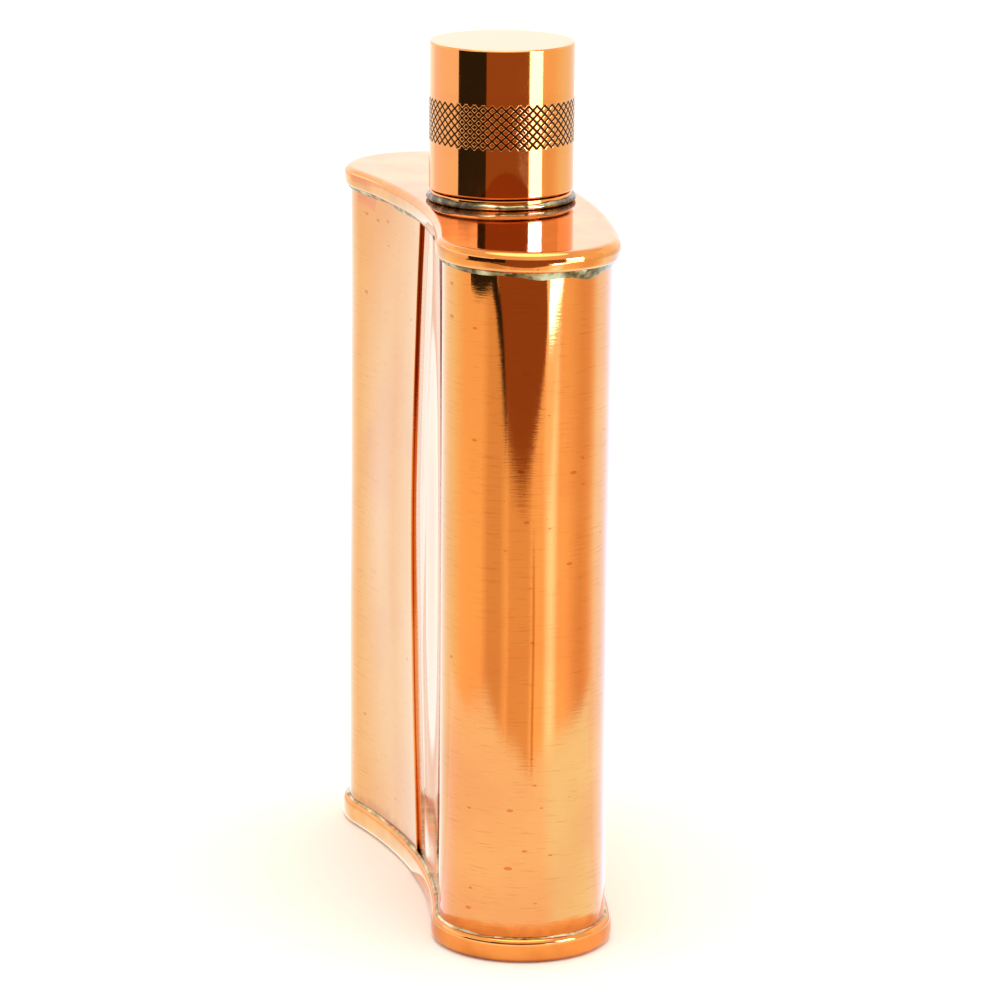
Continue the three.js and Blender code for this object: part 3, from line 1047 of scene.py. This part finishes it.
studio = {
    "floorReach": 4000,
    "floorColour": "FEF8EC",
    "fibreColour": "D8D2C8",
    "fibreSize": 1.5,
    "fibreShare": 0.05,
    "panelSteps": 25,        # points across a panel and across a floor sheet
    "sheetSteps": 61,
    "roomColour": "FFFFFF",
    "roomStrength": 1.165,
    "cameraTurn": 255.75,    # degrees round the flask
    "cameraRise": 13.87,
    "cameraAim": (-3.5, 0.55, 71.6),
    "cameraDistance": 880,
    "cameraRoll": 0.54,
    "lens": 174.7,
    "sensor": 36,
    "overhead": {"height": 550, "size": 400, "power": 1.0},
}
# upright panels: colour, strength, distance, soft edge, and rows of height, left edge and right edge,
# in degrees from the camera. Rows below 57 stand in the body's reflections, those to 130 in the cap's
# and those above in what the top plate and the cap show of each other
panels = {
    "brown_screen": ("FFB27F", 0.36, 360, 0, [
        (0, -5, -1), (14, -24, 13), (30, -30, 23), (42, -35, 27), (57, -43, 23),
        (57.5, -27, 46), (222, -27, 46)]),
    "black_screen": ("FFFFFF", 0.03, 360, 0, [
        (16, -27, -25), (30, -35, -29), (42, -44, -35), (47, -49, -38), (47.6, -81, -39), (57, -81, -43),
        (57.5, -77, -27), (194, -77, -27), (196, -41, -27), (222, -41, -27)]),
    "strip_light": ("F4F6FF", 11.0, 360, 0, [(57.5, 48, 71), (195, 48, 71)]),
    "strip_low": ("9CB8FF", 22.0, 360, 0, [
        (40, 28.5, 34), (43, 29, 38), (46.5, 30, 46), (51, 31, 50), (57, 32, 53)]),
    "strip_foot": ("EEF2FF", 1.8, 362, 4, [
        (0, 24, 34), (20, 26, 37), (40, 29, 42), (52, 30, 52)]),
    "plate_strip": ("6090FF", 110.0, 360, 0, [(195, 48, 71), (222, 48, 71)]),
    "cool_light": ("D9DFFF", 1.75, 360, 0, [(64.5, -135, -77), (196, -140, -77)]),
    "plate_light": ("D8E4FF", 3.0, 360, 0, [(197, -140, -41), (250, -140, -41)]),
    "back_light": ("FFFFFF", 1.5, 800, 0, [(160, 105, 255), (700, 105, 255)]),
}
# sheets that lie on the floor, the first lowest: colour, strength, soft edge, and spokes of degrees
# from the camera, inner reach and outer reach
lowestSheet, sheetStep = 0.3, 0.1
sheets = {
    "left_sheet": ("DBF7FE", 1.7, 16, [(-200, 60, 4000), (-150, 40, 4000), (-104, 26, 4000)]),
    "right_sheet": ("AED3FF", 3.0, 14, [(100, 24, 640), (160, 40, 640)]),
    "right_far_sheet": ("E9F8FF", 1.4, 14, [(100, 641, 4000), (160, 641, 4000)]),
    "left_shade": ("FFEED6", 0.98, 8, [(-56, 170, 800), (-28, 130, 800)]),
    "right_shade": ("FFEFDD", 1.04, 16, [(66, 148, 900), (96, 160, 900)]),
    "middle_shade": ("FFEFD8", 1.06, 4, [(-22, 130, 700), (8, 112, 700)]),
    "middle_line": ("FFD8AC", 0.92, 1, [(11, 112, 300), (14, 112, 300)]),
    "middle_light": ("B4D2FF", 3.6, 6, [(29, 120, 700), (42, 130, 700)]),
    "near_sheet": ("C2D9FF", 2.4, 0, [
        (-118, 24, 190), (-104, 24, 174), (-81, 28, 165), (-52, 32, 179), (-37, 32, 159), (-26, 32, 144),
        (-9, 32, 138), (9, 32, 122), (24, 32, 134), (52, 32, 144), (84, 28, 155), (104, 24, 175)]),
    "near_sheet_right": ("ACD3FF", 3.0, 12, [
        (32, 32, 138), (52, 32, 144), (84, 28, 155), (104, 24, 175)]),
}


def directionAt(turn, rise=0.0):
    turn, rise = math.radians(turn), math.radians(rise)
    return Vector((math.sin(turn) * math.cos(rise), -math.cos(turn) * math.cos(rise), math.sin(rise)))


def makeFloor():
    material, tree, shader, place = startMaterial("white_card_floor")
    fibres = addNode(tree, "TexNoise", {
        "Vector": place, "Scale": grain(studio["fibreSize"])[0], "Detail": 3.0})
    tone = addNode(tree, "MapRange", {
        "Value": fibres.outputs["Fac"], "From Min": 0.2, "From Max": 0.8,
        "To Min": 0.0, "To Max": studio["fibreShare"]}).outputs[0]
    colour = addNode(tree, "Mix", {
        0: tone, 6: linear(studio["floorColour"]), 7: linear(studio["fibreColour"])},
        data_type="RGBA").outputs[2]
    tree.links.new(colour, shader.inputs["Base Color"])
    shader.inputs["Roughness"].default_value = 0.9
    shader.inputs["Specular IOR Level"].default_value = 0.1
    reach = studio["floorReach"]
    corners = [(-reach, -reach, 0), (reach, -reach, 0), (reach, reach, 0), (-reach, reach, 0)]
    floor = makeObject("floor", corners, [(0, 1, 2, 3)], material)


def makeGlow(name, colour, strength, rows, shares):
    # a lit sheet through rows of points round the near end of the flask; only the metal sees it,
    # and it fades out where its share is low
    material = bpy.data.materials.new(name)
    material.use_nodes = True
    material.node_tree.nodes.clear()
    glow = addNode(material.node_tree, "Emission", {"Color": linear(colour), "Strength": strength}).outputs[0]
    if min(shares) < 1:
        share = addNode(material.node_tree, "Attribute", attribute_name="share").outputs["Fac"]
        clear = addNode(material.node_tree, "BsdfTransparent").outputs[0]
        glow = addNode(material.node_tree, "MixShader", {0: share, 1: clear, 2: glow}).outputs[0]
    addNode(material.node_tree, "OutputMaterial", {"Surface": glow})
    vertices = []
    for row in rows:
        for turn, distance, height in row:
            spot = directionAt(studio["cameraTurn"] + turn) * distance
            vertices.append((spot.x - endX, spot.y + endY, height))
    across = len(rows[0])
    faces = []
    for row in range(len(rows) - 1):
        for column in range(across - 1):
            corner = row * across + column
            faces.append((corner, corner + 1, corner + across + 1, corner + across))
    sheet = makeObject(name, vertices, faces, material)
    fade = sheet.data.attributes.new("share", "FLOAT", "POINT")
    fade.data.foreach_set("value", shares)
    sheet.visible_camera = False
    sheet.visible_diffuse = False
    sheet.visible_shadow = False
    sheet.visible_transmission = False


def edgeShares(left, right, soft, steps):
    # turns across a sheet and how much of its light is there: none at a soft edge, all of it further in
    turns = np.linspace(left - soft, right + soft, steps)
    if soft == 0:
        return turns, np.ones(steps)
    inside = np.minimum(turns - turns[0], turns[-1] - turns)
    return turns, smooth(inside / (2 * soft))


def makePanel(name, colour, strength, distance, soft, rows):
    points, shares = [], []
    for height, left, right in rows:
        turns, light = edgeShares(left, right, soft, studio["panelSteps"])
        points.append([(turn, distance, height) for turn in turns])
        shares += list(light)
    makeGlow(name, colour, strength, points, shares)


def makeSheet(name, level, colour, strength, soft, spokes):
    spokeTurns, inner, outer = zip(*spokes)
    turns, light = edgeShares(spokeTurns[0], spokeTurns[-1], soft, studio["sheetSteps"])
    points = []
    for reach in (inner, outer):
        points.append([(turn, np.interp(turn, spokeTurns, reach), level) for turn in turns])
    makeGlow(name, colour, strength, points, list(light) * 2)


def makeStudio():
    makeFloor()
    for name, settings in panels.items():
        makePanel(name, *settings)
    for place, (name, settings) in enumerate(sheets.items()):
        makeSheet(name, lowestSheet + sheetStep * place, *settings)
    world = bpy.data.worlds.new("white_room")
    bpy.context.scene.world = world
    world.use_nodes = True
    background = world.node_tree.nodes["Background"]
    background.inputs["Color"].default_value = linear(studio["roomColour"])
    background.inputs["Strength"].default_value = studio["roomStrength"]
    overhead = studio["overhead"]
    lamp = bpy.data.lights.new("overhead_softbox", "AREA")
    lamp.shape = "DISK"
    lamp.size = overhead["size"] * mm
    lamp.energy = overhead["power"]
    softbox = bpy.data.objects.new("overhead_softbox", lamp)
    softbox.location = (0, 0, overhead["height"] * mm)
    bpy.context.scene.collection.objects.link(softbox)
    bpy.context.scene.view_settings.view_transform = "Standard"


def makeCamera():
    camera = bpy.data.objects.new("camera", bpy.data.cameras.new("camera"))
    camera.data.lens = studio["lens"]
    camera.data.sensor_width = studio["sensor"]
    camera.data.clip_start = 0.01
    away = directionAt(studio["cameraTurn"], studio["cameraRise"])
    aim = Vector(studio["cameraAim"]) * mm
    camera.location = aim + away * studio["cameraDistance"] * mm
    roll = Quaternion((0, 0, 1), math.radians(studio["cameraRoll"]))
    camera.rotation_mode = "QUATERNION"
    camera.rotation_quaternion = (-away).to_track_quat("-Z", "Y") @ roll
    bpy.context.scene.collection.objects.link(camera)
    bpy.context.scene.camera = camera


makeStudio()
makeCamera()
print("studio made")
